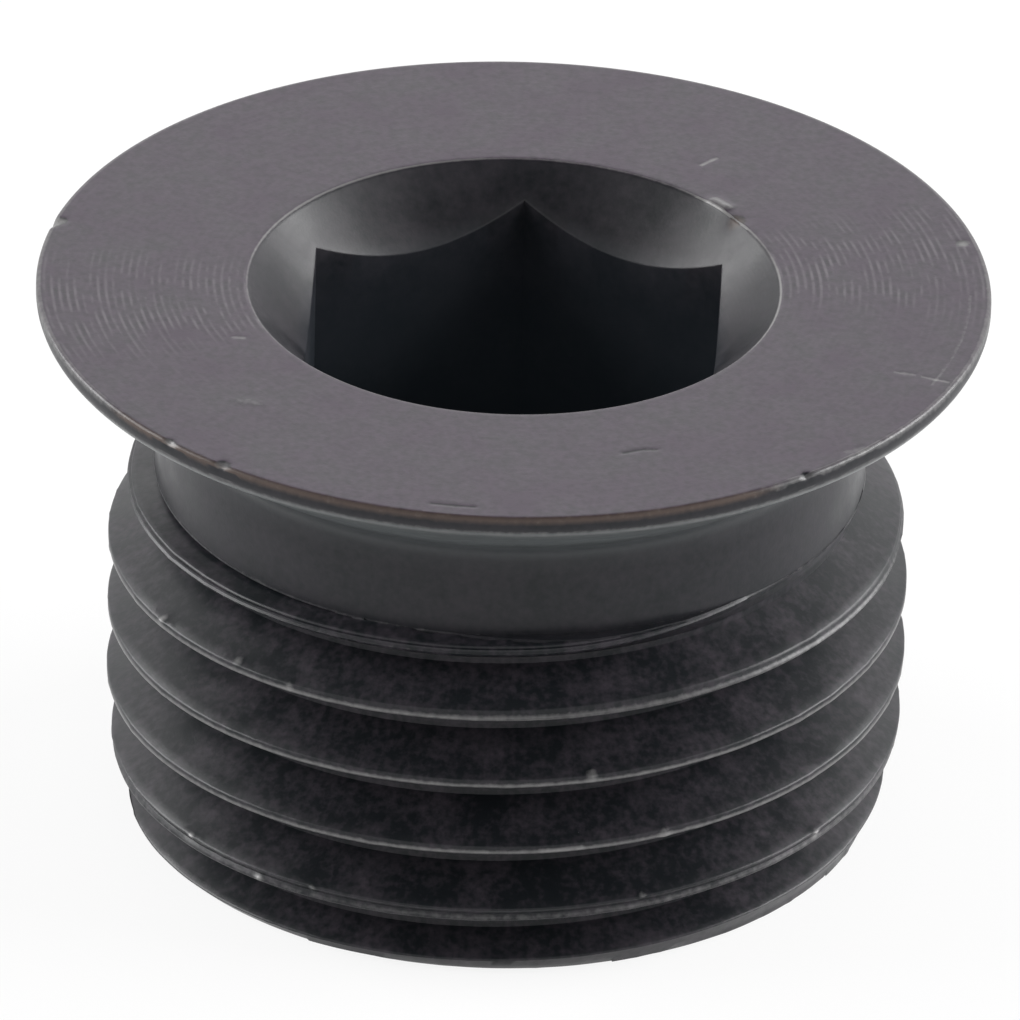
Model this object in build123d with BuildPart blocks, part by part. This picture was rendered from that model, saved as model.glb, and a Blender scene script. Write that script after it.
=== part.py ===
from build123d import *
from math import cos, radians, sin, tan
import os

# Hex socket plug, M16 x 1.5, turned from one bar of steel.
# Millimetres, +Z up, origin at the centre of the threaded end, which it stands on.

# Overall
height = 11.3  # end face to the top of the flange

# Flange: a flat disc whose underside is a cone that runs down to the neck
flange_d = 18.8
flange_edge = 0.4  # upright band left at the rim
flange_depth = 2.0  # top face to where the cone meets the neck
rim_break = 0.08  # rounding of the rim's two corners

# Neck: the plain relief between flange and thread
neck_d = 14.05
neck_end = 3.95  # top face to the first of the thread
neck_round = 0.5  # inside radius where the cone meets the neck

# Thread: right-handed, 60 degree metric form
thread_d = 16.0
thread_pitch = 1.5
thread_allowance = 0.08  # how far the crests stay inside the nominal radius
flank_angle = 30.0  # each flank from the plane across the axis
crest_flat = 0.16
root_flat = 0.15
thread_phase = -93.0  # angle about +Z of the crest that starts in the end face

# Both ends of the thread are tapered, so that the first and last turns fade out
lead_in_d = 14.9  # at the neck
lead_in_length = 1.4
end_d = 14.8  # at the end face
end_taper_length = 1.25

# Socket: a broached hexagon over a drilled point, with a countersunk mouth
hex_key = 8.0
key_clearance = 0.04  # across flats
socket_depth = 6.5  # top face to the foot of the flats
mouth_d = 10.5
mouth_angle = 90.0  # included angle of the countersink
drill_d = 7.8
drill_point_angle = 118.0

# Worked out from the sizes above
flange_r = flange_d / 2
neck_r = neck_d / 2
thread_top = height - neck_end
crest_r = thread_d / 2 - thread_allowance
flank_width = (thread_pitch - crest_flat - root_flat) / 2
root_r = crest_r - flank_width / tan(radians(flank_angle))
socket_af = hex_key + key_clearance
socket_foot = height - socket_depth
mouth_r = mouth_d / 2
mouth_point = height - mouth_r / tan(radians(mouth_angle / 2))
drill_r = drill_d / 2
drill_point = socket_foot - drill_r / tan(radians(drill_point_angle / 2))

# The same thread form read round a slice across the axis: one pitch is one full turn
crest_arc = 360 * crest_flat / thread_pitch
root_arc = 360 * root_flat / thread_pitch
flank_arc = 360 * flank_width / thread_pitch
flank_steps = 8


def polar(radius, angle):
    return radius * cos(radians(angle)), radius * sin(radians(angle))


def flank(start_angle, start_r, end_r):
    """Points of one flank in the slice, where it is a spiral of constant rise."""
    shares = [step / flank_steps for step in range(flank_steps + 1)]
    return [
        polar(start_r + share * (end_r - start_r), start_angle + share * flank_arc)
        for share in shares
    ]


os.makedirs("parts", exist_ok=True)

# Thread: the slice is drawn up the axis and turned once for each pitch, then tapered
crest_end = thread_phase + crest_arc / 2
root_start = crest_end + flank_arc
root_end = root_start + root_arc
taper_overrun = 0.1  # how far the tapers are carried past the crests
trim_r = crest_r + taper_overrun
end_trim = end_taper_length * (trim_r - end_d / 2) / (crest_r - end_d / 2)
lead_in_trim = lead_in_length * (trim_r - lead_in_d / 2) / (crest_r - lead_in_d / 2)

with BuildPart() as thread:
    with BuildSketch():
        with BuildLine():
            ThreePointArc(
                polar(crest_r, crest_end - crest_arc),
                polar(crest_r, thread_phase),
                polar(crest_r, crest_end),
            )
            Spline(*flank(crest_end, crest_r, root_r))
            ThreePointArc(
                polar(root_r, root_start),
                polar(root_r, root_start + root_arc / 2),
                polar(root_r, root_end),
            )
            Spline(*flank(root_end, root_r, crest_r))
        make_face()
    with BuildLine():
        axis_line = Line((0, 0, 0), (0, 0, thread_top))
    turns = Helix(pitch=thread_pitch, height=thread_top, radius=root_r, mode=Mode.PRIVATE)
    sweep(path=axis_line, binormal=turns)

    with BuildSketch(Plane.XZ):
        with BuildLine():
            Polyline(
                (0, 0),
                (end_d / 2, 0),
                (trim_r, end_trim),
                (trim_r, thread_top - lead_in_trim),
                (lead_in_d / 2, thread_top),
                (0, thread_top),
                close=True,
            )
        make_face()
    revolve(axis=Axis.Z, mode=Mode.INTERSECT)

# Plug: neck and flange are turned above the thread, then the socket is sunk into them
with BuildPart() as hex_socket_plug:
    with BuildSketch(Plane.XZ) as turned_profile:
        with BuildLine():
            Polyline(
                (0, thread_top),
                (neck_r, thread_top),
                (neck_r, height - flange_depth),
                (flange_r, height - flange_edge),
                (flange_r, height),
                (0, height),
                close=True,
            )
        make_face()
        fillet(turned_profile.vertices().group_by(Axis.X)[-1], rim_break)
        crease = turned_profile.vertices().group_by(Axis.X)[1].sort_by(Axis.Y)[-1]
        fillet(crease, neck_round)
    revolve(axis=Axis.Z)
    add(thread.part)

    with BuildSketch(Plane.XZ):
        with BuildLine():
            Polyline((0, mouth_point), (mouth_r, height), (0, height), close=True)
        make_face()
    revolve(axis=Axis.Z, mode=Mode.SUBTRACT)

    with BuildSketch(Plane.XY.offset(height)):
        RegularPolygon(radius=socket_af / 2, side_count=6, major_radius=False, rotation=30)
    extrude(amount=-socket_depth, mode=Mode.SUBTRACT)

    with BuildSketch(Plane.XZ):
        with BuildLine():
            Polyline((0, drill_point), (drill_r, socket_foot), (0, socket_foot), close=True)
        make_face()
    revolve(axis=Axis.Z, mode=Mode.SUBTRACT)

hex_socket_plug.part.label = "hex_socket_plug"
export_step(hex_socket_plug.part, "parts/hex_socket_plug.step")
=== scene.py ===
import math

import bmesh
import bpy
from mathutils import Matrix, Vector, noise


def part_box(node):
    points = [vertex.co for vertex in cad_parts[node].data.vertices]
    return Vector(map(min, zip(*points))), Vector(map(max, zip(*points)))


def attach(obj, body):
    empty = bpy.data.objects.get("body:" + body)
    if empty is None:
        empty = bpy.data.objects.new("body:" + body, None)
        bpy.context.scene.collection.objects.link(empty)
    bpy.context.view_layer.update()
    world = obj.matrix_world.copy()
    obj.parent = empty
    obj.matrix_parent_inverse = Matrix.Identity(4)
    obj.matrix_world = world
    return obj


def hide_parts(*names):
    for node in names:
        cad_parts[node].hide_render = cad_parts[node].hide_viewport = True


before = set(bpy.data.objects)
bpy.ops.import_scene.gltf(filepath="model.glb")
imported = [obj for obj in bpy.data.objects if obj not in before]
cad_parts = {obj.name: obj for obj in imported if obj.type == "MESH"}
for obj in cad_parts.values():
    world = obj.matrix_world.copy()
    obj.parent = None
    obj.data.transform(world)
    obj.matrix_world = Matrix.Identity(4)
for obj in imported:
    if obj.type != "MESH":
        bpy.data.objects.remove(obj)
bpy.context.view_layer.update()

mm = 0.001
cadNode = "hex_socket_plug"
nodeLow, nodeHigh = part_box(cadNode)
topHeight = nodeHigh.z / mm
flangeRadius = (nodeHigh.x - nodeLow.x) / 2 / mm

# Everything about the plug is in millimetres until its mesh is scaled to metres
touching = 0.001  # closer than this counts as the same place

turned = {
    "neckRadius": 7.025,
    "shoulderDrop": 3.95,  # top face down to the first of the thread
    "coneDrop": 2.0,  # top face down to where the cone under the flange meets the neck
    "rimBand": 0.4,  # upright band at the rim
    "mouthRadius": 5.25,
    "acrossFlats": 8.04,
    "socketDepth": 6.5,
    "drillRadius": 3.9,
    "drillPointAngle": 118,
    "aroundSteps": 360,  # a multiple of 12, so that the six corners fall on a step
    "topStep": 0.13,  # spacing of the rings that carry the dents
    "mouthGuard": 0.06,  # a close ring on each side keeps the mouth's wear narrow
    "rimRound": 0.07,
    "rimSegments": 3,
    "lowerRimRound": 0.2,
    "lowerRimSegments": 5,
    "neckFillet": 0.27,
    "filletSegments": 6,
    "mouthRound": 0.045,
    "arrisRound": 0.03,
    "edgeSegments": 2,  # of the mouth, the arris and the crests
    "seamWidth": 0.05,  # the neck's foot, where it was worn bright
    "sharpAngle": 40,  # edges that turn more than this stay crisp
}
shoulder = topHeight - turned["shoulderDrop"]

thread = {
    "pitch": 1.5,
    "crestRadius": 7.92,
    "crestFlat": 0.16,
    "rootFlat": 0.15,
    "flankAngle": 30,
    "startAngle": -93,  # where a crest leaves the end face
    "endRadius": 7.4,
    "endTaper": 1.25,
    "leadInRadius": 7.45,
    "leadInTaper": 1.4,
    "runOutStart": 6.3,  # above this height the ridge sags as it runs out
    "runOutFade": 0.7,
    "runOutSag": 0.08,
    "lastRidge": 6.9,  # where the ridge narrows to a bead, with a groove between it and the neck
    "lastRidgeFade": 0.25,
    "narrowFrom": 5.9,  # from here on the flat is dressed narrower than the blank would leave it
    "narrowFade": 0.5,
    "narrowWidth": 0.17,
    "beadRound": 0.06,  # how far the bead's edges drop
    "lastGroove": 0.14,  # height over which its upper side drops into the groove
    "ridgeEnd": 7.54,  # where the bead starts to die into the neck
    "ridgeEndFade": 0.2,
    "ridgeEndStand": 0.026,  # how far its last trace stands out of the neck
    "neckLip": 0.05,  # height of the lip over the groove
    "lipStand": 0.02,  # how far it stands out of the neck
    "lipShare": 0.05,  # share of the groove's depth left on it, so that its points stay apart
    "endStand": 0.005,  # how far the thread's upper end stands out of the neck
    "flankRows": 5,  # rows of faces on each flank
    "crestRows": 4,
    "crestRound": 0.03,
    "edgeBreak": 0.04,  # chamfer of the two cut ends
    "endOffCentre": 0.08,  # how far off centre, towards -X, the end was tapered
    "firstTurnCut": 0.08,  # how much the first full turn falls short of the crests above it
    "firstTurnTop": 1.6,  # where it starts to catch up
    "firstTurnFade": 1.0,
    "waver": 0.01,  # slow unevenness of the crests
    "waverGrain": 0.9,  # how many to the mm
    "burr": 0.035,  # the largest of the small burrs on them
    "burrGrain": 2.6,
    "burrRarity": 0.25,  # the higher, the fewer of them
    "burrShift": (7, 0, 0),  # so that the burrs don't follow the waver
    "fold": 0.5,  # depth of the fold that rolling leaves in a short crest, for each mm of its width
    "foldMost": 0.06,
    "foldLast": 0.8,  # share of it that the last ridge has
    "foldSides": 1.4,  # how steep its sides are
}


def polarPoint(radius, angle, height):
    return Vector((radius * math.cos(angle), radius * math.sin(angle), height))


def radiusOf(place):
    return math.hypot(place.x, place.y)


def angleOf(place):
    return math.atan2(place.y, place.x)


def ringEdges(bm, radius, height):
    # The edges of one ring of a turned form
    ring = {
        vert
        for vert in bm.verts
        if abs(radiusOf(vert.co) - radius) < touching and abs(vert.co.z - height) < touching
    }
    return [edge for edge in bm.edges if all(vert in ring for vert in edge.verts)]


def roundOff(bm, edges, offset, segments, clamp=True):
    bmesh.ops.bevel(
        bm,
        geom=edges,
        offset=offset,
        offset_type="OFFSET",
        affect="EDGES",
        segments=segments,
        profile=0.5,
        material=-1,
        clamp_overlap=clamp,
    )


def addLine(bm, points):
    verts = [bm.verts.new((radius, 0, height)) for radius, height in points]
    return [bm.edges.new(pair) for pair in zip(verts, verts[1:])]


def hexRadius(angle):
    # Distance from the axis to the hexagon's wall, whose corners lie on +Y and -Y
    sector = math.radians(60)
    offAxis = (angle + sector / 2) % sector - sector / 2
    return turned["acrossFlats"] / 2 / math.cos(offAxis)


def buildTurnedForm(bm):
    top = topHeight
    neck = turned["neckRadius"]
    mouth = turned["mouthRadius"]
    guard = turned["mouthGuard"]
    flat = turned["acrossFlats"] / 2
    flatTop = top - (mouth - flat)
    foot = top - turned["socketDepth"]
    point = foot - turned["drillRadius"] / math.tan(math.radians(turned["drillPointAngle"] / 2))
    topCuts = round((flangeRadius - mouth) / turned["topStep"])

    # Radius and height of each corner, and how many cuts the line from it to the next one gets
    profile = [
        (neck, shoulder, 0),
        (neck, shoulder + turned["seamWidth"], 5),
        (neck, top - turned["coneDrop"], 7),
        (flangeRadius, top - turned["rimBand"], 1),
        (flangeRadius, top, topCuts),
        (mouth + 2 * guard, top, 0),
        (mouth, top, 0),
        (mouth - guard, top - guard, 3),
        (flat, flatTop, 6),
        (flat, foot, 0),
        (turned["drillRadius"], foot, 2),
        (0, point, 0),
    ]
    edges = addLine(bm, [corner[:2] for corner in profile])
    for edge, corner in zip(edges, profile):
        if corner[2]:
            bmesh.ops.subdivide_edges(bm, edges=[edge], cuts=corner[2])
    bmesh.ops.spin(
        bm,
        geom=bm.verts[:] + bm.edges[:],
        cent=(0, 0, 0),
        axis=(0, 0, 1),
        angle=math.tau,
        steps=turned["aroundSteps"],
        use_merge=True,
    )
    bmesh.ops.remove_doubles(bm, verts=bm.verts[:], dist=touching / 2)

    crease = ringEdges(bm, neck, top - turned["coneDrop"])
    roundOff(bm, crease, turned["neckFillet"], turned["filletSegments"])
    lowerRim = ringEdges(bm, flangeRadius, top - turned["rimBand"])
    roundOff(bm, lowerRim, turned["lowerRimRound"], turned["lowerRimSegments"])
    roundOff(bm, ringEdges(bm, flangeRadius, top), turned["rimRound"], turned["rimSegments"])

    # The socket is still round: its wall is pushed out to the hexagon, and the arris
    # follows the countersink
    arris = ringEdges(bm, flat, flatTop)
    mouthEdge = ringEdges(bm, mouth, top)
    for vert in bm.verts:
        radius = radiusOf(vert.co)
        if vert.co.z > top - guard - touching or vert.co.z < foot - touching:
            continue
        if radius > mouth or radius < flat - touching:
            continue
        angle = angleOf(vert.co)
        wall = hexRadius(angle)
        arrisHeight = top - (mouth - wall)
        if vert.co.z > flatTop + touching:
            share = (top - vert.co.z) / (top - flatTop)
            radius = mouth + share * (wall - mouth)
            height = top + share * (arrisHeight - top)
        else:
            share = (vert.co.z - foot) / (flatTop - foot)
            radius, height = wall, foot + share * (arrisHeight - foot)
        vert.co = polarPoint(radius, angle, height)
    roundOff(bm, arris, turned["arrisRound"], turned["edgeSegments"])
    roundOff(bm, mouthEdge, turned["mouthRound"], turned["edgeSegments"])
    print("Turned form:", len(bm.faces), "faces")


endSlope = (thread["crestRadius"] - thread["endRadius"]) / thread["endTaper"]
leadInSlope = (thread["crestRadius"] - thread["leadInRadius"]) / thread["leadInTaper"]
firstTurnSlope = thread["firstTurnCut"] / thread["firstTurnFade"]
flankSlope = 1 / math.tan(math.radians(thread["flankAngle"]))


def blankLines(angle):
    # The blank that the thread is cut in: lines of radius = start + slope * height
    end = thread["endRadius"] - thread["endOffCentre"] * math.cos(angle)
    leadIn = thread["leadInRadius"] + shoulder * leadInSlope
    shortCrest = thread["crestRadius"] - thread["firstTurnCut"]
    firstTurn = shortCrest - firstTurnSlope * thread["firstTurnTop"]
    return [(end, endSlope), (leadIn, -leadInSlope), (firstTurn, firstTurnSlope)]


def blankRadius(height, angle):
    tapers = [start + slope * height for start, slope in blankLines(angle)]
    return min([thread["crestRadius"]] + tapers)


def rise(value, start, span):
    # 0 below the start, and 1 from the end of the span on
    return min(1, max(0, (value - start) / span))


def ridgeMiddle(height, angle):
    # Height of the middle of the ridge that this place belongs to
    base = thread["pitch"] * ((angle - math.radians(thread["startAngle"])) / math.tau)
    return base + round((height - base) / thread["pitch"]) * thread["pitch"]


def crestCorners(crestHeight, angle):
    # Heights at which the two flanks of one ridge run out through the blank
    crest = thread["crestRadius"]
    low = crestHeight - thread["crestFlat"] / 2
    high = crestHeight + thread["crestFlat"] / 2
    lines = blankLines(angle)
    lows = [(start - crest + low * flankSlope) / (flankSlope - slope) for start, slope in lines]
    highs = [(crest - start + high * flankSlope) / (flankSlope + slope) for start, slope in lines]
    low, high = min([low] + lows), max([high] + highs)
    narrow = rise(crestHeight, thread["narrowFrom"], thread["narrowFade"])
    return low, high + narrow * (low + thread["narrowWidth"] - high)


def crestRadiusAt(height, angle, crestHeight):
    # On the blank, except where the last of the ridge dies into the neck
    merged = turned["neckRadius"] + thread["ridgeEndStand"]
    fade = rise(crestHeight, thread["ridgeEnd"], thread["ridgeEndFade"])
    fade = fade * fade * (3 - 2 * fade)
    radius = blankRadius(height, angle)
    return radius + fade * (merged - radius)


def crestWaver(angle, height):
    # Crests are never quite even: a slow waver, with a small burr here and there
    place = polarPoint(thread["crestRadius"], angle, height)
    slow = noise.noise(place * thread["waverGrain"])
    rough = noise.noise(place * thread["burrGrain"] + Vector(thread["burrShift"]))
    burr = max(0, rough - thread["burrRarity"])
    return thread["waver"] * slow + thread["burr"] * burr


def buildThread(bm):
    pitch = thread["pitch"]
    crest = thread["crestRadius"]
    halfCrest = thread["crestFlat"] / 2
    halfRoot = thread["rootFlat"] / 2
    rootEdge = pitch / 2 - halfRoot
    root = crest - (rootEdge - halfCrest) * flankSlope
    start = math.radians(thread["startAngle"])

    # One pitch of the section, from root to root, spun up the axis
    turns = math.ceil(shoulder / pitch) + 2
    section = [
        (root, -pitch / 2),
        (root, -rootEdge),
        (crest, -halfCrest),
        (crest, halfCrest),
        (root, rootEdge),
        (root, pitch / 2),
    ]
    edges = addLine(bm, [(radius, height - pitch) for radius, height in section])
    cuts = [1, thread["flankRows"] - 1, thread["crestRows"] - 1, thread["flankRows"] - 1, 1]
    for edge, count in zip(edges, cuts):
        bmesh.ops.subdivide_edges(bm, edges=[edge], cuts=count)
    bmesh.ops.rotate(bm, verts=bm.verts[:], cent=(0, 0, 0), matrix=Matrix.Rotation(start, 3, "Z"))
    bmesh.ops.spin(
        bm,
        geom=bm.verts[:] + bm.edges[:],
        cent=(0, 0, 0),
        axis=(0, 0, 1),
        dvec=(0, 0, pitch / turned["aroundSteps"]),
        angle=math.tau,
        steps=turned["aroundSteps"],
    )
    oneTurn = bm.verts[:] + bm.edges[:] + bm.faces[:]
    for turn in range(1, turns):
        copied = bmesh.ops.duplicate(bm, geom=oneTurn)["geom"]
        verts = [element for element in copied if isinstance(element, bmesh.types.BMVert)]
        bmesh.ops.translate(bm, vec=(0, 0, turn * pitch), verts=verts)
    bmesh.ops.remove_doubles(bm, verts=bm.verts[:], dist=touching / 2)

    # Both ends are tapered: each row of a ridge slides to where the blank cuts it
    crestVerts = set()
    for vert in bm.verts:
        angle = angleOf(vert.co)
        middle = ridgeMiddle(vert.co.z, angle)
        offset = vert.co.z - middle
        if abs(offset) > rootEdge + touching:
            continue
        low, high = crestCorners(middle, angle)
        last = rise(middle, thread["lastRidge"], thread["lastRidgeFade"])
        if abs(offset) > halfCrest + touching:
            share = (rootEdge - abs(offset)) / (rootEdge - halfCrest)
            foot = middle + math.copysign(rootEdge, offset)
            if offset > 0:
                foot += last * (high + thread["lastGroove"] - foot)
            corner = low if offset < 0 else high
            height = foot + share * (corner - foot)
            edge = crestRadiusAt(corner, angle, middle) - last * thread["beadRound"]
            radius = root + share * (edge - root)
        else:
            share = (offset + halfCrest) / (2 * halfCrest)
            height = low + share * (high - low)
            fold = min(thread["foldMost"], thread["fold"] * (high - low - 2 * halfCrest))
            fold = max(fold, thread["foldLast"] * last * thread["foldMost"])
            fold *= max(0, 1 - abs(2 * share - 1) * thread["foldSides"])
            fold += last * thread["beadRound"] * (2 * share - 1) ** 2
            radius = crestRadiusAt(height, angle, middle) + crestWaver(angle, height) - fold
            crestVerts.add(vert)
        vert.co = polarPoint(radius, angle, height)
    for vert in bm.verts:
        sag = rise(vert.co.z, thread["runOutStart"], thread["runOutFade"])
        vert.co.z -= thread["runOutSag"] * sag
    crestEdges = [
        edge
        for edge in bm.edges
        if all(v in crestVerts for v in edge.verts)
        and sum(all(v in crestVerts for v in face.verts) for face in edge.link_faces) == 1
    ]
    roundOff(bm, crestEdges, thread["crestRound"], turned["edgeSegments"], clamp=False)

    # The ends are cut square, and the neck keeps a thin lip over the groove
    lip = shoulder - thread["neckLip"]
    for height, direction, clear in ((0, -1, True), (lip, 1, False), (shoulder, 1, True)):
        bmesh.ops.bisect_plane(
            bm,
            geom=bm.verts[:] + bm.edges[:] + bm.faces[:],
            dist=touching / 5,
            plane_co=(0, 0, height),
            plane_no=(0, 0, direction),
            clear_outer=clear,
        )
    lipRadius = turned["neckRadius"] + thread["lipStand"]
    for vert in bm.verts:
        radius = radiusOf(vert.co)
        if vert.co.z > lip + touching and radius < lipRadius:
            scale = (lipRadius - thread["lipShare"] * (lipRadius - radius)) / radius
            vert.co.x *= scale
            vert.co.y *= scale
    print("Thread:", len(bm.faces), "faces,", turns - 2, "turns")


def boundaryEdges(bm, height):
    return [
        edge
        for edge in bm.edges
        if edge.is_boundary and all(abs(v.co.z - height) < touching / 2 for v in edge.verts)
    ]


def breakEdge(bm, height, direction):
    # A small chamfer round a cut end: the ring drops back and a new one is drawn inside it
    edges = boundaryEdges(bm, height)
    verts = {v for edge in edges for v in edge.verts}
    for vert in verts:
        vert.co.z -= direction * thread["edgeBreak"]
    made = bmesh.ops.extrude_edge_only(bm, edges=edges)
    newEdges = []
    for element in made["geom"]:
        if isinstance(element, bmesh.types.BMVert):
            inner = radiusOf(element.co) - thread["edgeBreak"]
            inner = max(inner, turned["neckRadius"] + thread["endStand"])
            element.co = polarPoint(inner, angleOf(element.co), height)
        elif isinstance(element, bmesh.types.BMEdge):
            newEdges.append(element)
    return newEdges


def arcPath(radius, angles):
    # Points round the flange's top, with the angles in degrees
    return [tuple(polarPoint(radius, math.radians(angle), 0).xy) for angle in angles]


# Knocks, dents and scratches. Each path is in mm: on the flange's top as x, y, and on the
# thread as degrees round it and height. Reach is half the mark's width, and a mark with a
# negative depth is raised. The bare share is steel showing through, and on the ring at the
# right a painted highlight; brown is steel that has browned.

topMarks = [
    # a facing ring at the right, pressed in a little and painted pale as a painted highlight
    {"path": arcPath(8.98, range(-22, 3, 4)), "reach": 0.04, "depth": 0.004, "bareAndGlint": 0.4},
    {"path": [(-9.2, 1.72), (-9.05, 1.88)], "reach": 0.11, "depth": 0.05, "bareAndGlint": 1.0},
    {"path": [(-6.36, -6.9), (-6.30, -7.02)], "reach": 0.09, "depth": 0.05, "bareAndGlint": 1.2},
    {"path": [(-5.26, -7.74)], "reach": 0.14, "depth": 0.05, "bareAndGlint": 0.6},
    {"path": [(6.03, -7.19)], "reach": 0.09, "depth": 0.07},
    {"path": [(6.80, -6.20), (7.05, -6.03)], "reach": 0.12, "depth": 0.01, "bareAndGlint": 0.4},
    {"path": [(8.77, 2.47)], "reach": 0.13, "depth": 0.03, "bareAndGlint": 1.0},
    {"path": [(3.80, 3.80), (4.05, 3.55)], "reach": 0.12, "depth": -0.05, "bareAndGlint": 1.0},
    {"path": [(4.23, 3.04)], "reach": 0.2, "depth": 0.03, "brown": 1.0},
    {"path": [(-1.15, -8.93), (-0.69, -8.98), (-0.3, -9.0)], "reach": 0.06, "depth": 0.012},
    {"path": [(7.59, -2.92), (7.99, -3.01), (8.64, -3.24)], "reach": 0.05, "depth": 0.005, "bareAndGlint": 0.6},
    {"path": [(3.48, 5.28), (3.76, 5.58)], "reach": 0.05, "depth": 0.005, "bareAndGlint": 0.9},
    {"path": [(-5.36, -2.62), (-5.16, -2.62)], "reach": 0.06, "depth": 0.008, "bareAndGlint": 0.7},
    {"path": [(-5.05, -5.18), (-4.72, -5.24)], "reach": 0.13, "depth": -0.006, "bareAndGlint": 0.35},
    {"path": [(2.45, -6.62), (2.83, -6.45), (3.1, -6.42)], "reach": 0.06, "depth": 0.012},
]

sideMarks = [
    {"path": [(-146.5, 5.86)], "reach": 0.1, "depth": -0.03, "bareAndGlint": 1.0},
    {"path": [(-129.5, 6.03)], "reach": 0.1, "depth": -0.02, "bareAndGlint": 1.0},
    {"path": [(-34.0, 3.50)], "reach": 0.08, "depth": -0.03, "bareAndGlint": 1.0},
    {"path": [(-35.8, 1.78)], "reach": 0.1, "depth": -0.04, "bareAndGlint": 0.9},
    {"path": [(-14.2, 0.70)], "reach": 0.1, "depth": -0.02, "bareAndGlint": 1.0},
    {"path": [(-64.0, 3.11)], "reach": 0.1, "depth": -0.04, "bareAndGlint": 1.0},
    {"path": [(-75.0, 4.64)], "reach": 0.1, "depth": -0.03, "bareAndGlint": 1.0},
    {"path": [(-82.0, 3.03), (-76.5, 3.06)], "reach": 0.06, "depth": -0.02, "bareAndGlint": 0.9},
    {"path": [(-169.0, 1.53)], "reach": 0.12, "depth": -0.05, "bareAndGlint": 0.7},
    {"path": [(-67.0, 1.80)], "reach": 0.1, "depth": -0.04, "bareAndGlint": 0.8},
    {"path": [(-139.2, 1.45)], "reach": 0.1, "depth": -0.02, "bareAndGlint": 1.0},
    {"path": [(-119.8, 5.91)], "reach": 0.08, "depth": -0.02, "bareAndGlint": 1.0},
    {"path": [(-125.2, 1.30)], "reach": 0.09, "depth": -0.04, "bareAndGlint": 0.9},
    {"path": [(-115.8, 1.48)], "reach": 0.09, "depth": -0.03, "bareAndGlint": 0.8},
]

# Where each finish lies, how worn the edges are, and where light is painted in: under the flange, deep
# in the socket, on the faced top and as highlights on some edges. Shares run from 0 to 1, lengths are
# in mm and angles in degrees round the plug.

wearAndPaintedLight = {
    "rim": 0.5,
    "rimReach": 1.3,  # how far the rim's wear reaches, in radii of its rounding
    "rimBrowned": 0.7,  # share of that wear that has browned along the front
    "brownSpread": 1.3,  # how soon across the rim it is fully brown
    "brownFrom": -146,
    "brownTo": -52,
    "brownFade": 6,  # degrees over which it ends
    # the band's lower edge: partly worn, partly a painted highlight all round it
    "lowerRim": 0.36,
    "lowerRimBelow": 0.15,  # its wear and painted highlight lie this far below and above the band's lower edge
    "lowerRimAbove": 0.12,
    "mouth": 0.6,
    "mouthWidth": 0.03,  # to each side of the mouth's edge
    "mouthDepth": 0.04,
    "mouthPaintedGlints": 0.7,  # painted highlights, added along these arcs of it
    "mouthArcs": [(95, 178), (20, 55), (-30, 22)],
    "seam": 0.2,  # the neck's foot
    "seamDepth": 0.03,
    "crestDepth": 0.1,  # how far below the blank a crest's wear reaches
    "crestFlat": 0.05,  # wear over the whole crest
    "crest": 0.7,  # and in its line
    "crestLine": 0.25,  # share of the crest's width, from its lower edge
    "crestLineWidth": 0.5,
    "crestEnds": (-0.05, 1.06),  # shares of its width between which it is worn
    "crestFade": 0.2,  # crests this much short of full are hardly worn
    "taper": 0.25,  # share of the wear that they keep
    "underLightFrom": 0.4,  # painted light: the paler colour under the flange, standing in for light from the floor, starts this far below the cone
    "underLightFade": 1.0,
    "facedDepth": 0.01,  # the faced top ends this far down
    "countersink": 0.1,  # how far it takes the faced top's paler colour, partly painted light
    "countersinkDepth": 1.2,
    "socketInset": 0.3,  # painted light: the socket's walls are painted paler, to lift the shade inside it, from this far inside the mouth
    "socketTop": 1.0,  # and sets in below this depth
    "socketLeast": 0.1,  # and starts from this share
    "socketFloor": 1.0,  # height that this painted light goes down to
}

# How the marks are set into the mesh

pressing = {
    "refined": 0.25,  # the mesh is finer this far round a mark
    "refineCuts": 2,
    "felt": 2.5,  # reaches at which a mark is no longer felt
    "crestSink": 0.05,  # marks on the crests are centred this far inside them
    "topDepth": 0.2,  # down to this far below the rim a mark is pressed from above
    "rimWidth": 0.35,  # and this near the rim also from the side
}


def distanceToPath(place, path):
    if len(path) == 1:
        return (place - path[0]).length
    distances = []
    for start, end in zip(path, path[1:]):
        along = (place - start).dot(end - start) / (end - start).length_squared
        nearest = start + (end - start) * min(1, max(0, along))
        distances.append((place - nearest).length)
    return min(distances)


def placeMarks():
    # Every mark with its path as points in space, and how far from its start it is felt
    placed = []
    for mark in topMarks:
        placed.append({**mark, "path": [Vector((x, y, topHeight)) for x, y in mark["path"]]})
    crest = thread["crestRadius"] - pressing["crestSink"]
    for mark in sideMarks:
        path = [polarPoint(crest, math.radians(around), height) for around, height in mark["path"]]
        placed.append({**mark, "path": path})
    for mark in placed:
        length = (mark["path"][-1] - mark["path"][0]).length
        mark["span"] = length + pressing["felt"] * mark["reach"]
    return placed


def markShare(place, mark):
    # How much a point feels a mark: 1 on its path, and fading away from it
    if (place - mark["path"][0]).length > mark["span"]:
        return 0
    return math.exp(-((distanceToPath(place, mark["path"]) / mark["reach"]) ** 2))


def refineMarks(bm, placed):
    for mark in placed:
        limit = mark["reach"] + pressing["refined"]
        near = [f for f in bm.faces if distanceToPath(f.calc_center_median(), mark["path"]) < limit]
        edges = list(dict.fromkeys(edge for face in near for edge in face.edges))
        cuts = pressing["refineCuts"]
        bmesh.ops.subdivide_edges(bm, edges=edges, cuts=cuts, use_grid_fill=True)


def hump(value, span):
    # 1 in the middle of a span, falling smoothly to 0 at its ends
    middle, half = (span[0] + span[1]) / 2, (span[1] - span[0]) / 2
    distance = min(1, abs(value - middle) / half)
    return 1 - distance * distance


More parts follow.
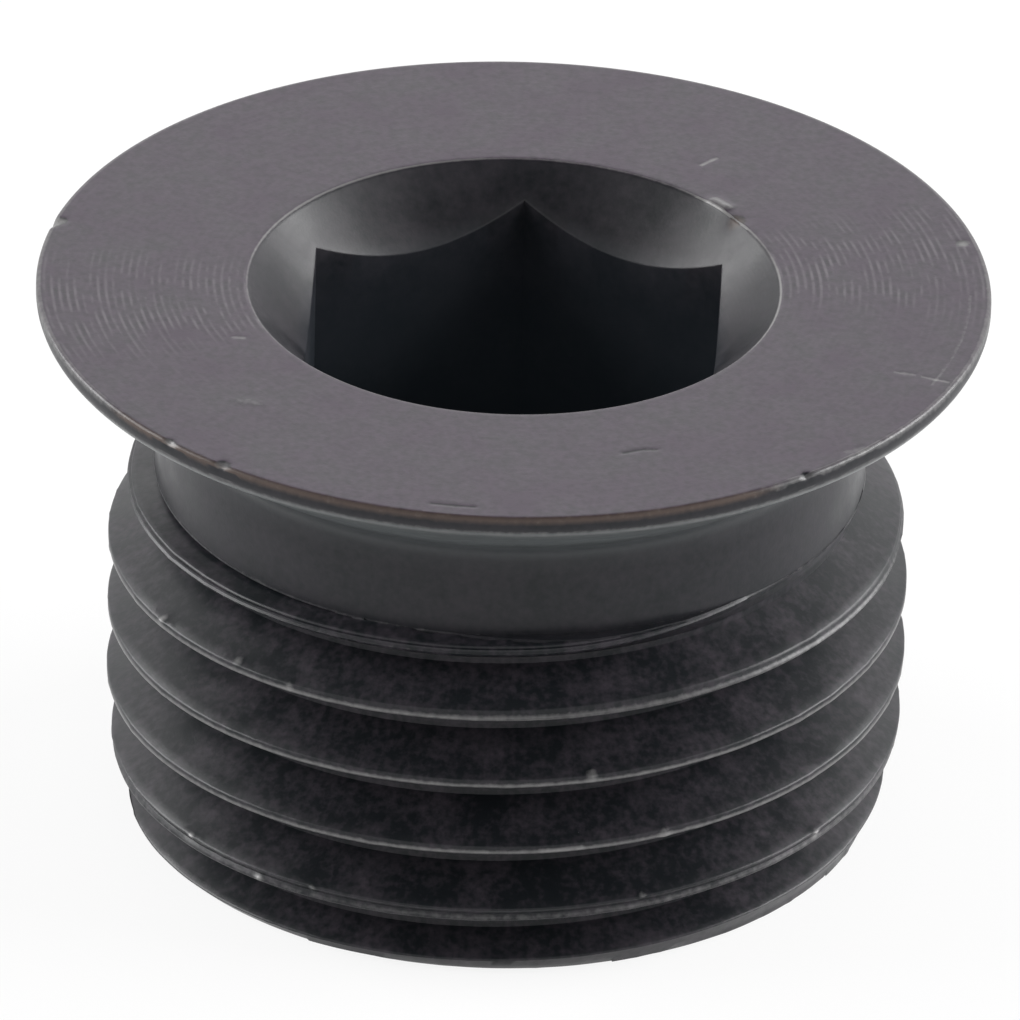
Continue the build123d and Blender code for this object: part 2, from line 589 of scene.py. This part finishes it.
def crestWear(angle, height, radius):
    # A crest is worn most in a line below its middle, and one that falls short hardly at all
    sagFade = thread["runOutFade"] - thread["runOutSag"]
    height += thread["runOutSag"] * rise(height, thread["runOutStart"], sagFade)
    low, high = crestCorners(ridgeMiddle(height, angle), angle)
    share = (height - low) / (high - low)
    if not wearAndPaintedLight["crestEnds"][0] <= share <= wearAndPaintedLight["crestEnds"][1]:
        return 0
    fullness = (radius - thread["crestRadius"] + wearAndPaintedLight["crestFade"]) / wearAndPaintedLight["crestFade"]
    across = max(0, 1 - abs(share - wearAndPaintedLight["crestLine"]) / wearAndPaintedLight["crestLineWidth"])
    return (wearAndPaintedLight["crestFlat"] + wearAndPaintedLight["crest"] * across) * min(1, max(wearAndPaintedLight["taper"], fullness))


def wornBareAndGlints(around, height, radius, brownShare):
    # How far the steel shows at a place on one of the plug's edges, with painted highlights added along
    # the mouth and all round the band's lower edge
    band = topHeight - turned["rimBand"]
    if nearRim(height, radius):
        return wearAndPaintedLight["rim"] * (1 - wearAndPaintedLight["rimBrowned"] * brownShare)
    if abs(radius - turned["neckRadius"]) < wearAndPaintedLight["seamDepth"]:
        if abs(height - shoulder) < turned["seamWidth"]:
            return wearAndPaintedLight["seam"]
    # The band's lower edge: worn, and painted bright all round as a painted highlight
    if radius > flangeRadius - turned["lowerRimRound"] and height > band - wearAndPaintedLight["lowerRimBelow"]:
        return wearAndPaintedLight["lowerRim"] if height < band + wearAndPaintedLight["lowerRimAbove"] else 0
    # The mouth's edge: worn all round, with painted highlights along some arcs of it
    if abs(radius - turned["mouthRadius"]) < wearAndPaintedLight["mouthWidth"]:
        if height > topHeight - wearAndPaintedLight["mouthDepth"]:
            paintedGlints = [wearAndPaintedLight["mouthPaintedGlints"] * hump(around, arc) for arc in wearAndPaintedLight["mouthArcs"]]
            return wearAndPaintedLight["mouth"] + max(paintedGlints)
    angle = math.radians(around)
    if height < shoulder and radius > blankRadius(height, angle) - wearAndPaintedLight["crestDepth"]:
        return crestWear(angle, height, radius)
    return 0


def nearRim(height, radius):
    reach = turned["rimRound"] * wearAndPaintedLight["rimReach"]
    return radius > flangeRadius - reach and height > topHeight - reach


def paintFinish(bm, placed):
    # Vertex attributes that the material reads, for each part with a finish of its own, and for the
    # light painted under the flange, in the socket and on the edges
    parts = ("bareAndGlint", "brown", "faced", "torn", "paintedUnderLight", "socket")
    layers = {part: bm.verts.layers.float.new(part) for part in parts}
    top = topHeight
    mouth = turned["mouthRadius"]
    rimReach = turned["rimRound"] * wearAndPaintedLight["rimReach"]
    band = top - turned["rimBand"]
    underLightFoot = top - turned["coneDrop"] - wearAndPaintedLight["underLightFrom"]
    socketTop = top - wearAndPaintedLight["socketTop"]
    for vert in bm.verts:
        radius = radiusOf(vert.co)
        around = math.degrees(angleOf(vert.co))
        height = vert.co.z
        brownShare = min(around - wearAndPaintedLight["brownFrom"], wearAndPaintedLight["brownTo"] - around) / wearAndPaintedLight["brownFade"]
        brownShare = min(1, max(0, brownShare))
        bareAndGlint = wornBareAndGlints(around, height, radius, brownShare)
        if nearRim(height, radius):
            outer = (radius - (flangeRadius - rimReach)) / rimReach
            vert[layers["brown"]] = brownShare * min(1, wearAndPaintedLight["brownSpread"] * outer)
        # painted light from the floor, paler up towards the flange
        if underLightFoot < height < band and radius > turned["neckRadius"] - touching:
            vert[layers["paintedUnderLight"]] = min(1, (height - underLightFoot) / wearAndPaintedLight["underLightFade"])
        if height < shoulder - touching:
            vert[layers["torn"]] = 1
        # the faced top, painted paler: partly its own tone, partly painted light
        if radius > mouth and height > top - wearAndPaintedLight["facedDepth"]:
            vert[layers["faced"]] = 1
        elif radius < mouth and height > top - wearAndPaintedLight["countersinkDepth"]:
            vert[layers["faced"]] = wearAndPaintedLight["countersink"]
        # painted light: paler the deeper in the socket, to lift the shade there
        if radius < mouth - wearAndPaintedLight["socketInset"] and wearAndPaintedLight["socketFloor"] < height < socketTop:
            depth = (socketTop - height) / (turned["socketDepth"] - wearAndPaintedLight["socketTop"])
            vert[layers["socket"]] = min(1, wearAndPaintedLight["socketLeast"] + depth)
        for mark in placed:
            share = markShare(vert.co, mark)
            bareAndGlint += mark.get("bareAndGlint", 0) * share
            vert[layers["brown"]] += mark.get("brown", 0) * share
        vert[layers["bareAndGlint"]] = bareAndGlint


def pressMarks(bm, placed):
    for mark in placed:
        for vert in bm.verts:
            share = markShare(vert.co, mark)
            if share == 0:
                continue
            outwards = polarPoint(1, angleOf(vert.co), 0)
            onTop = vert.co.z > topHeight - turned["rimBand"] - pressing["topDepth"]
            inwards = Vector((0, 0, -1)) if onTop else -outwards
            if onTop and radiusOf(vert.co) > flangeRadius - pressing["rimWidth"]:
                inwards = (inwards - outwards).normalized()
            vert.co += inwards * mark["depth"] * share


def makePlug():
    bm = bmesh.new()
    buildThread(bm)
    endRing = breakEdge(bm, 0, -1)
    breakEdge(bm, shoulder, 1)
    bmesh.ops.triangle_fill(bm, edges=endRing, use_beauty=True)

    # The turned form is made apart, so that its rings can be told from the thread's
    turnedMesh = bpy.data.meshes.new("turnedForm")
    turnedBm = bmesh.new()
    buildTurnedForm(turnedBm)
    turnedBm.to_mesh(turnedMesh)
    turnedBm.free()
    bm.from_mesh(turnedMesh)
    bpy.data.meshes.remove(turnedMesh)
    bmesh.ops.triangle_fill(bm, edges=boundaryEdges(bm, shoulder), use_beauty=True)
    bmesh.ops.remove_doubles(bm, verts=bm.verts[:], dist=touching / 5)

    marks = placeMarks()
    refineMarks(bm, marks)
    pressMarks(bm, marks)
    paintFinish(bm, marks)
    bmesh.ops.recalc_face_normals(bm, faces=bm.faces[:])
    openEdges = sum(not edge.is_manifold for edge in bm.edges)
    for face in bm.faces:
        face.smooth = True
    bmesh.ops.scale(bm, vec=(mm, mm, mm), verts=bm.verts[:])
    mesh = bpy.data.meshes.new("hexSocketPlug")
    bm.to_mesh(mesh)
    bm.free()
    mesh.set_sharp_from_angle(angle=math.radians(turned["sharpAngle"]))
    plug = bpy.data.objects.new("hexSocketPlug", mesh)
    bpy.context.scene.collection.objects.link(plug)
    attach(plug, "root")
    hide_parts(cadNode)
    smooth = plug.modifiers.new("weightedNormals", "WEIGHTED_NORMAL")
    smooth.keep_sharp = True
    print("Plug:", len(mesh.polygons), "faces,", openEdges, "open edges")
    return plug


def linearColour(hexValue):
    channels = [int(hexValue[place : place + 2], 16) / 255 for place in (0, 2, 4)]
    return [c / 12.92 if c <= 0.04045 else ((c + 0.055) / 1.055) ** 2.4 for c in channels] + [1.0]


def addNode(tree, kind, settings=None, inputs=None):
    # inputs holds plain values and sockets to link from
    node = tree.nodes.new(kind)
    for name, value in (settings or {}).items():
        setattr(node, name, value)
    for name, value in (inputs or {}).items():
        socket = node.inputs[name]
        if isinstance(value, bpy.types.NodeSocket):
            tree.links.new(value, socket)
        else:
            socket.default_value = value
    return node


oxide = {
    "coat": "14171a",
    "coatThin": "3e383f",  # where blotches leave it thinner
    "coatFacedAndLit": "413843",  # and the faced top's paler colour: partly its own tone, partly painted light
    "thinFrom": 0.4,  # thinness at which the coat starts to pale, and at which it is palest
    "thinTo": 1.1,
    "facedToneAndLight": 0.45,  # the faced top is paler: partly a thinner coat, partly painted light on the upward-facing top
    "cutToneAndSheen": 0.25,  # and the ridges between its cuts are paler still: partly a thinner coat, partly a painted sheen of the rings
    # painted light from the floor under the flange
    "paintedUnderLight": "525657",
    # painted light: a paler colour deep in the socket, to lift its shade
    "socket": "3b4249",
    "brown": "483d38",
    # the bare steel colour, for the worn places and for the painted highlights
    "bareAndGlint": "7a7979",
    "bareMetallic": 0.5,  # traces of the coat stay in the worn edges
    "ior": 1.34,
    "roughness": 0.36,
    "roughnessSpread": 0.08,  # it is rougher and smoother by this, with the blotches
    "blotchFrom": 0.3,
    "blotchTo": 0.7,
    "turningSpacing": 0.152,  # mm from one facing cut to the next
    "turningArc": 26.0,  # how fast the cuts change along their arc
    "cutGrain": 0.45,  # and from one to the next
    "cutFrom": 0.42,  # unevenness at which a cut starts to show, and at which it is full
    "cutTo": 0.68,
    "cutSheenTowards": (0.98, 0.199, 0),  # the cuts show most along this line across the face: as relief, and as a painted sheen where the rings catch the light
    "cutSheenWidth": 0.05,
    "cutSheenLeast": 0.08,  # share of the cuts' depth and painted sheen away from that line
    "paintedGlints": 0.32,  # painted highlight: how far the cuts along that line are painted toward the bare colour
    "tearSpacing": 0.22,  # mm between the fine tears across the thread's flanks
    "tearThinness": 0.14,
    "blotch": 1.1,  # mm
    "speckle": 0.15,
    "speckleThinness": 0.42,
    "fineMottle": 0.35,  # share of the mottling on the neck, the cones and the socket
    "mottleMiddle": 0.5,  # the even tone that takes the place of the rest of it
    "grit": 0.06,  # mm, as coarse as it needs to show
    "gritRelief": 0.5,
    "wornGrain": 0.14,  # mm, size of the breaks in a worn edge
    "grainReach": 0.6,  # how far they eat into it
    "wornFrom": 0.5,  # wear at which a broken edge starts to show, and at which it is whole
    "wornTo": 1.3,
    "bumpStrength": 0.6,
    "bumpDepth": 0.005,  # mm
}


def makeBlackOxide():
    # Black oxide over turned steel: a thin dark conversion coating with a soft satin sheen,
    # in which the tool's cuts show as rings and the edges have worn to the metal. Painted into
    # its colour are light under the flange and in the socket, a faced top that is partly painted
    # paler, and highlights along the mouth, the band's lower edge and the faced top's cuts.
    # A Mix node takes its numbers at inputs 2 and 3 and its colours at 6 and 7.
    material = bpy.data.materials.new("blackOxideTurnedSteel")
    material.use_nodes = True
    tree = material.node_tree
    shader = tree.nodes["Principled BSDF"]
    shader.inputs["IOR"].default_value = oxide["ior"]

    objectPlace = addNode(tree, "ShaderNodeTexCoord").outputs["Object"]
    place = addNode(
        tree, "ShaderNodeVectorMath", {"operation": "SCALE"}, {0: objectPlace, "Scale": 1 / mm}
    ).outputs["Vector"]
    flat = addNode(
        tree, "ShaderNodeVectorMath", {"operation": "MULTIPLY"}, {0: place, 1: (1, 1, 0)}
    ).outputs["Vector"]
    radius = addNode(
        tree, "ShaderNodeVectorMath", {"operation": "LENGTH"}, {0: flat}
    ).outputs["Value"]
    around = addNode(
        tree, "ShaderNodeVectorMath", {"operation": "NORMALIZE"}, {0: flat}
    ).outputs["Vector"]
    height = addNode(tree, "ShaderNodeSeparateXYZ", None, {0: place}).outputs["Z"]

    # Cuts are counted along the section, so that they ring the top, the cones and the neck alike
    section = addNode(
        tree, "ShaderNodeMath", {"operation": "ADD"}, {0: radius, 1: height}
    ).outputs[0]
    cutCount = addNode(
        tree, "ShaderNodeMath", {"operation": "DIVIDE"}, {0: section, 1: oxide["turningSpacing"]}
    ).outputs[0]
    across = addNode(tree, "ShaderNodeCombineXYZ", None, {"Z": cutCount}).outputs[0]
    arc = addNode(
        tree,
        "ShaderNodeVectorMath",
        {"operation": "SCALE"},
        {0: around, "Scale": oxide["turningArc"]},
    ).outputs["Vector"]
    turning = addNode(
        tree, "ShaderNodeVectorMath", {"operation": "ADD"}, {0: arc, 1: across}
    ).outputs["Vector"]
    unevenCuts = addNode(
        tree,
        "ShaderNodeTexNoise",
        None,
        {"Vector": turning, "Scale": oxide["cutGrain"], "Detail": 3.0},
    ).outputs["Fac"]
    phase = addNode(
        tree,
        "ShaderNodeMath",
        {"operation": "MULTIPLY_ADD"},
        {0: cutCount, 1: math.tau, 2: unevenCuts},
    ).outputs[0]
    evenCuts = addNode(tree, "ShaderNodeMath", {"operation": "SINE"}, {0: phase}).outputs[0]
    sideways = addNode(
        tree,
        "ShaderNodeVectorMath",
        {"operation": "DOT_PRODUCT"},
        {0: around, 1: oxide["cutSheenTowards"]},
    ).outputs["Value"]
    sideways = addNode(tree, "ShaderNodeMath", {"operation": "ABSOLUTE"}, {0: sideways}).outputs[0]
    # Painted sheen: along that line the cuts are strongest, in relief and in colour, where the rings
    # catch the light
    cutSheen = addNode(
        tree,
        "ShaderNodeMapRange",
        {"interpolation_type": "SMOOTHSTEP"},
        {
            "Value": sideways,
            "From Min": 1 - oxide["cutSheenWidth"],
            "From Max": 1.0,
            "To Min": oxide["cutSheenLeast"],
        },
    ).outputs[0]
    patches = addNode(
        tree,
        "ShaderNodeMapRange",
        None,
        {"Value": unevenCuts, "From Min": oxide["cutFrom"], "From Max": oxide["cutTo"]},
    ).outputs[0]
    cutDepth = addNode(
        tree, "ShaderNodeMath", {"operation": "MULTIPLY"}, {0: cutSheen, 1: patches}
    ).outputs[0]
    cuts = addNode(
        tree, "ShaderNodeMath", {"operation": "MULTIPLY"}, {0: evenCuts, 1: cutDepth}
    ).outputs[0]

    blotches = addNode(
        tree,
        "ShaderNodeTexNoise",
        None,
        {"Vector": place, "Scale": 1 / oxide["blotch"], "Detail": 5.0, "Roughness": 0.65},
    ).outputs["Fac"]
    speckle = addNode(
        tree,
        "ShaderNodeTexNoise",
        None,
        {"Vector": place, "Scale": 1 / oxide["speckle"], "Detail": 4.0},
    ).outputs["Fac"]
    grit = addNode(
        tree,
        "ShaderNodeTexNoise",
        None,
        {"Vector": place, "Scale": 1 / oxide["grit"], "Detail": 2.0},
    ).outputs["Fac"]
    wornGrain = addNode(
        tree,
        "ShaderNodeTexNoise",
        None,
        {"Vector": place, "Scale": 1 / oxide["wornGrain"], "Detail": 3.0},
    ).outputs["Fac"]

    # Tears across the flanks, from root to crest
    tornPlace = addNode(
        tree,
        "ShaderNodeVectorMath",
        {"operation": "SCALE"},
        {0: around, "Scale": thread["crestRadius"] / oxide["tearSpacing"]},
    ).outputs["Vector"]
    torn = addNode(
        tree, "ShaderNodeTexNoise", None, {"Vector": tornPlace, "Scale": 1.0, "Detail": 2.0}
    ).outputs["Fac"]

    # The coat is paler on the faced top, partly thinner and partly painted light, paler still on the
    # ridges between its cuts with a painted sheen, and thinner in blotches
    faced = addNode(tree, "ShaderNodeAttribute", {"attribute_name": "faced"}).outputs["Fac"]
    facing = addNode(
        tree,
        "ShaderNodeMath",
        {"operation": "MULTIPLY_ADD"},
        {0: cuts, 1: oxide["cutToneAndSheen"], 2: oxide["facedToneAndLight"]},
    ).outputs[0]
    tearing = addNode(
        tree,
        "ShaderNodeMapRange",
        None,
        {"Value": torn, "To Min": -oxide["tearThinness"], "To Max": oxide["tearThinness"]},
    ).outputs[0]
    flanks = addNode(tree, "ShaderNodeAttribute", {"attribute_name": "torn"}).outputs["Fac"]
    tearing = addNode(
        tree, "ShaderNodeMath", {"operation": "MULTIPLY"}, {0: tearing, 1: flanks}
    ).outputs[0]
    surface = addNode(
        tree, "ShaderNodeMix", {"data_type": "FLOAT"}, {0: faced, 2: tearing, 3: facing}
    ).outputs[0]
    mottle = addNode(
        tree,
        "ShaderNodeMapRange",
        None,
        {"Value": speckle, "To Min": -oxide["speckleThinness"], "To Max": oxide["speckleThinness"]},
    ).outputs[0]
    mottle = addNode(
        tree, "ShaderNodeMath", {"operation": "ADD"}, {0: blotches, 1: mottle}
    ).outputs[0]
    coarse = addNode(
        tree, "ShaderNodeMath", {"operation": "MAXIMUM"}, {0: flanks, 1: faced}
    ).outputs[0]
    coarse = addNode(
        tree,
        "ShaderNodeMapRange",
        None,
        {"Value": coarse, "To Min": oxide["fineMottle"], "To Max": 1.0},
    ).outputs[0]
    mottle = addNode(
        tree,
        "ShaderNodeMix",
        {"data_type": "FLOAT"},
        {0: coarse, 2: oxide["mottleMiddle"], 3: mottle},
    ).outputs[0]
    thinness = addNode(
        tree, "ShaderNodeMath", {"operation": "ADD"}, {0: mottle, 1: surface}
    ).outputs[0]
    thinShare = addNode(
        tree,
        "ShaderNodeMapRange",
        None,
        {"Value": thinness, "From Min": oxide["thinFrom"], "From Max": oxide["thinTo"]},
    ).outputs[0]
    thinColour = addNode(
        tree,
        "ShaderNodeMix",
        {"data_type": "RGBA"},
        {0: faced, 6: linearColour(oxide["coatThin"]), 7: linearColour(oxide["coatFacedAndLit"])},
    ).outputs[2]
    colour = addNode(
        tree,
        "ShaderNodeMix",
        {"data_type": "RGBA"},
        {0: thinShare, 6: linearColour(oxide["coat"]), 7: thinColour},
    ).outputs[2]

    # Over it lie the painted light under the flange and in the socket, the brown and the worn places,
    # and painted highlights on the faced top's cuts
    paintedGlints = addNode(tree, "ShaderNodeMath", {"operation": "MAXIMUM"}, {0: cuts, 1: 0.0}).outputs[0]
    paintedGlints = addNode(
        tree, "ShaderNodeMath", {"operation": "MULTIPLY"}, {0: paintedGlints, 1: faced}
    ).outputs[0]
    for part in ("paintedUnderLight", "socket", "brown", "bareAndGlint"):
        share = addNode(tree, "ShaderNodeAttribute", {"attribute_name": part}).outputs["Fac"]
        if part in ("brown", "bareAndGlint"):
            # A worn or painted-bright place ends where the grain lets it, not at a clean line
            broken = addNode(
                tree,
                "ShaderNodeMath",
                {"operation": "MULTIPLY_ADD"},
                {0: wornGrain, 1: oxide["grainReach"], 2: share},
            ).outputs[0]
            share = addNode(
                tree,
                "ShaderNodeMapRange",
                None,
                {"Value": broken, "From Min": oxide["wornFrom"], "From Max": oxide["wornTo"]},
            ).outputs[0]
        if part == "bareAndGlint":
            share = addNode(
                tree,
                "ShaderNodeMath",
                {"operation": "MULTIPLY_ADD", "use_clamp": True},
                {0: paintedGlints, 1: oxide["paintedGlints"], 2: share},
            ).outputs[0]
        colour = addNode(
            tree,
            "ShaderNodeMix",
            {"data_type": "RGBA"},
            {0: share, 6: colour, 7: linearColour(oxide[part])},
        ).outputs[2]
    tree.links.new(colour, shader.inputs["Base Color"])
    metallic = addNode(
        tree, "ShaderNodeMath", {"operation": "MULTIPLY"}, {0: share, 1: oxide["bareMetallic"]}
    ).outputs[0]
    tree.links.new(metallic, shader.inputs["Metallic"])

    rough = addNode(
        tree,
        "ShaderNodeMapRange",
        None,
        {
            "Value": blotches,
            "From Min": oxide["blotchFrom"],
            "From Max": oxide["blotchTo"],
            "To Min": oxide["roughness"] - oxide["roughnessSpread"],
            "To Max": oxide["roughness"] + oxide["roughnessSpread"],
        },
    ).outputs[0]
    tree.links.new(rough, shader.inputs["Roughness"])
    relief = addNode(
        tree,
        "ShaderNodeMath",
        {"operation": "MULTIPLY_ADD"},
        {0: grit, 1: oxide["gritRelief"], 2: surface},
    ).outputs[0]
    bump = addNode(
        tree,
        "ShaderNodeBump",
        None,
        {
            "Strength": oxide["bumpStrength"],
            "Distance": oxide["bumpDepth"] * mm,
            "Height": relief,
        },
    ).outputs["Normal"]
    tree.links.new(bump, shader.inputs["Normal"])
    print("Finish:", len(tree.nodes), "nodes")
    return material


# Floor, room, lamps and camera, in metres unless a note says millimetres

studio = {
    "floorColour": "fafafa",
    "floorRoughness": 0.9,
    "floorSize": 3.0,
    "floorWhite": 0.85,  # the rest of the floor shows its light and the shadow
    "roomLevel": 0.63,
    "ceilingLevel": 0.06,  # the room is darker overhead than round the sides
    "ceilingFrom": 0.66,  # sine of the elevation
    "ceilingTo": 0.88,
    "lampAim": (0, 0, 0.006),
}


def seenDirectly(tree):
    # 1 for camera, glossy and transmission rays, which see the white background itself
    path = addNode(tree, "ShaderNodeLightPath").outputs
    glossy = addNode(
        tree,
        "ShaderNodeMath",
        {"operation": "MAXIMUM"},
        {0: path["Is Camera Ray"], 1: path["Is Glossy Ray"]},
    ).outputs[0]
    return addNode(
        tree, "ShaderNodeMath", {"operation": "MAXIMUM"}, {0: glossy, 1: path["Is Transmission Ray"]}
    ).outputs[0]


def makeFloor():
    bm = bmesh.new()
    bmesh.ops.create_grid(bm, x_segments=1, y_segments=1, size=studio["floorSize"])
    mesh = bpy.data.meshes.new("floor")
    bm.to_mesh(mesh)
    bm.free()
    floor = bpy.data.objects.new("floor", mesh)
    bpy.context.scene.collection.objects.link(floor)
    material = bpy.data.materials.new("paleFloor")
    material.use_nodes = True
    tree = material.node_tree
    shader = tree.nodes["Principled BSDF"]
    shader.inputs["Base Color"].default_value = linearColour(studio["floorColour"])
    shader.inputs["Roughness"].default_value = studio["floorRoughness"]
    white = addNode(tree, "ShaderNodeEmission", None, {"Strength": 1.0}).outputs[0]
    share = addNode(
        tree,
        "ShaderNodeMath",
        {"operation": "MULTIPLY"},
        {0: seenDirectly(tree), 1: studio["floorWhite"]},
    ).outputs[0]
    mixed = addNode(
        tree, "ShaderNodeMixShader", None, {0: share, 1: shader.outputs[0], 2: white}
    ).outputs[0]
    tree.links.new(mixed, tree.nodes["Material Output"].inputs["Surface"])
    mesh.materials.append(material)
    print("Floor:", 2 * studio["floorSize"], "m across")


def makeRoom():
    world = bpy.data.worlds.new("studioWorld")
    bpy.context.scene.world = world
    world.use_nodes = True
    tree = world.node_tree
    background = tree.nodes["Background"]
    background.inputs["Color"].default_value = (1, 1, 1, 1)
    level = addNode(
        tree,
        "ShaderNodeMapRange",
        None,
        {"Value": seenDirectly(tree), "To Min": studio["roomLevel"], "To Max": 1.0},
    ).outputs[0]
    direction = addNode(tree, "ShaderNodeTexCoord").outputs["Generated"]
    elevation = addNode(tree, "ShaderNodeSeparateXYZ", None, {0: direction}).outputs["Z"]
    ceiling = addNode(
        tree,
        "ShaderNodeMapRange",
        {"interpolation_type": "SMOOTHSTEP"},
        {
            "Value": elevation,
            "From Min": studio["ceilingFrom"],
            "From Max": studio["ceilingTo"],
            "To Min": 1.0,
            "To Max": studio["ceilingLevel"],
        },
    ).outputs[0]
    seen = addNode(tree, "ShaderNodeLightPath").outputs["Is Camera Ray"]
    ceiling = addNode(
        tree, "ShaderNodeMath", {"operation": "MAXIMUM"}, {0: ceiling, 1: seen}
    ).outputs[0]
    strength = addNode(
        tree, "ShaderNodeMath", {"operation": "MULTIPLY"}, {0: level, 1: ceiling}
    ).outputs[0]
    tree.links.new(strength, background.inputs["Strength"])
    print("Room:", len(tree.nodes), "nodes")


lamps = {
    "behind": {"place": (0, 0.5, 0.3), "size": (0.7, 0.35), "power": 0.7},
    "left": {"place": (-0.5, 0.1, 0.18), "size": (0.5, 0.3), "power": 3.9},
    "right": {"place": (0.5, 0.1, 0.18), "size": (0.5, 0.3), "power": 5.0},
}


def makeLamps():
    for name, lamp in lamps.items():
        light = bpy.data.lights.new(name, "AREA")
        light.shape = "RECTANGLE"
        light.size, light.size_y = lamp["size"]
        light.energy = lamp["power"]
        holder = bpy.data.objects.new(name, light)
        holder.location = lamp["place"]
        aim = Vector(studio["lampAim"]) - holder.location
        holder.rotation_euler = aim.to_track_quat("-Z", "Y").to_euler()
        holder.visible_camera = False
        bpy.context.scene.collection.objects.link(holder)
    print("Lamps:", ", ".join(lamps))


camera = {
    "distance": 376.0,  # mm from the middle of the top face
    "elevation": 28.62,  # degrees
    "turn": 2.2,  # degrees about the plug's axis
    "roll": 1.318,
    "aimSide": 0.0254,  # mm, beside and below the middle of the top face
    "aimDrop": 5.088,
    "lens": 674.7,
    "sensor": 36.0,
    "clip": (0.01, 10.0),  # m
}


def makeCamera():
    elevation = math.radians(camera["elevation"])
    distance = camera["distance"]
    place = Vector((0, -distance * math.cos(elevation), distance * math.sin(elevation)))
    target = Vector((camera["aimSide"], 0, -camera["aimDrop"]))
    turn = Matrix.Rotation(math.radians(camera["turn"]), 3, "Z")
    lift = Vector((0, 0, topHeight))
    place, target = (turn @ place + lift) * mm, (turn @ target + lift) * mm
    aim = (target - place).normalized()
    side = aim.cross(Vector((0, 0, 1))).normalized()
    up = side.cross(aim)
    roll = math.radians(camera["roll"])
    rolledSide = math.cos(roll) * side + math.sin(roll) * up
    rolledUp = -math.sin(roll) * side + math.cos(roll) * up
    axes = Matrix((rolledSide, rolledUp, -aim)).transposed()
    data = bpy.data.cameras.new("camera")
    data.lens = camera["lens"]
    data.sensor_width = camera["sensor"]
    data.clip_start, data.clip_end = camera["clip"]
    holder = bpy.data.objects.new("camera", data)
    holder.matrix_world = Matrix.Translation(place) @ axes.to_4x4()
    bpy.context.scene.collection.objects.link(holder)
    bpy.context.scene.camera = holder
    print("Camera:", distance, "mm away")


plug = makePlug()
plug.data.materials.append(makeBlackOxide())
makeFloor()
makeRoom()
makeLamps()
makeCamera()
bpy.context.scene.view_settings.view_transform = "Standard"
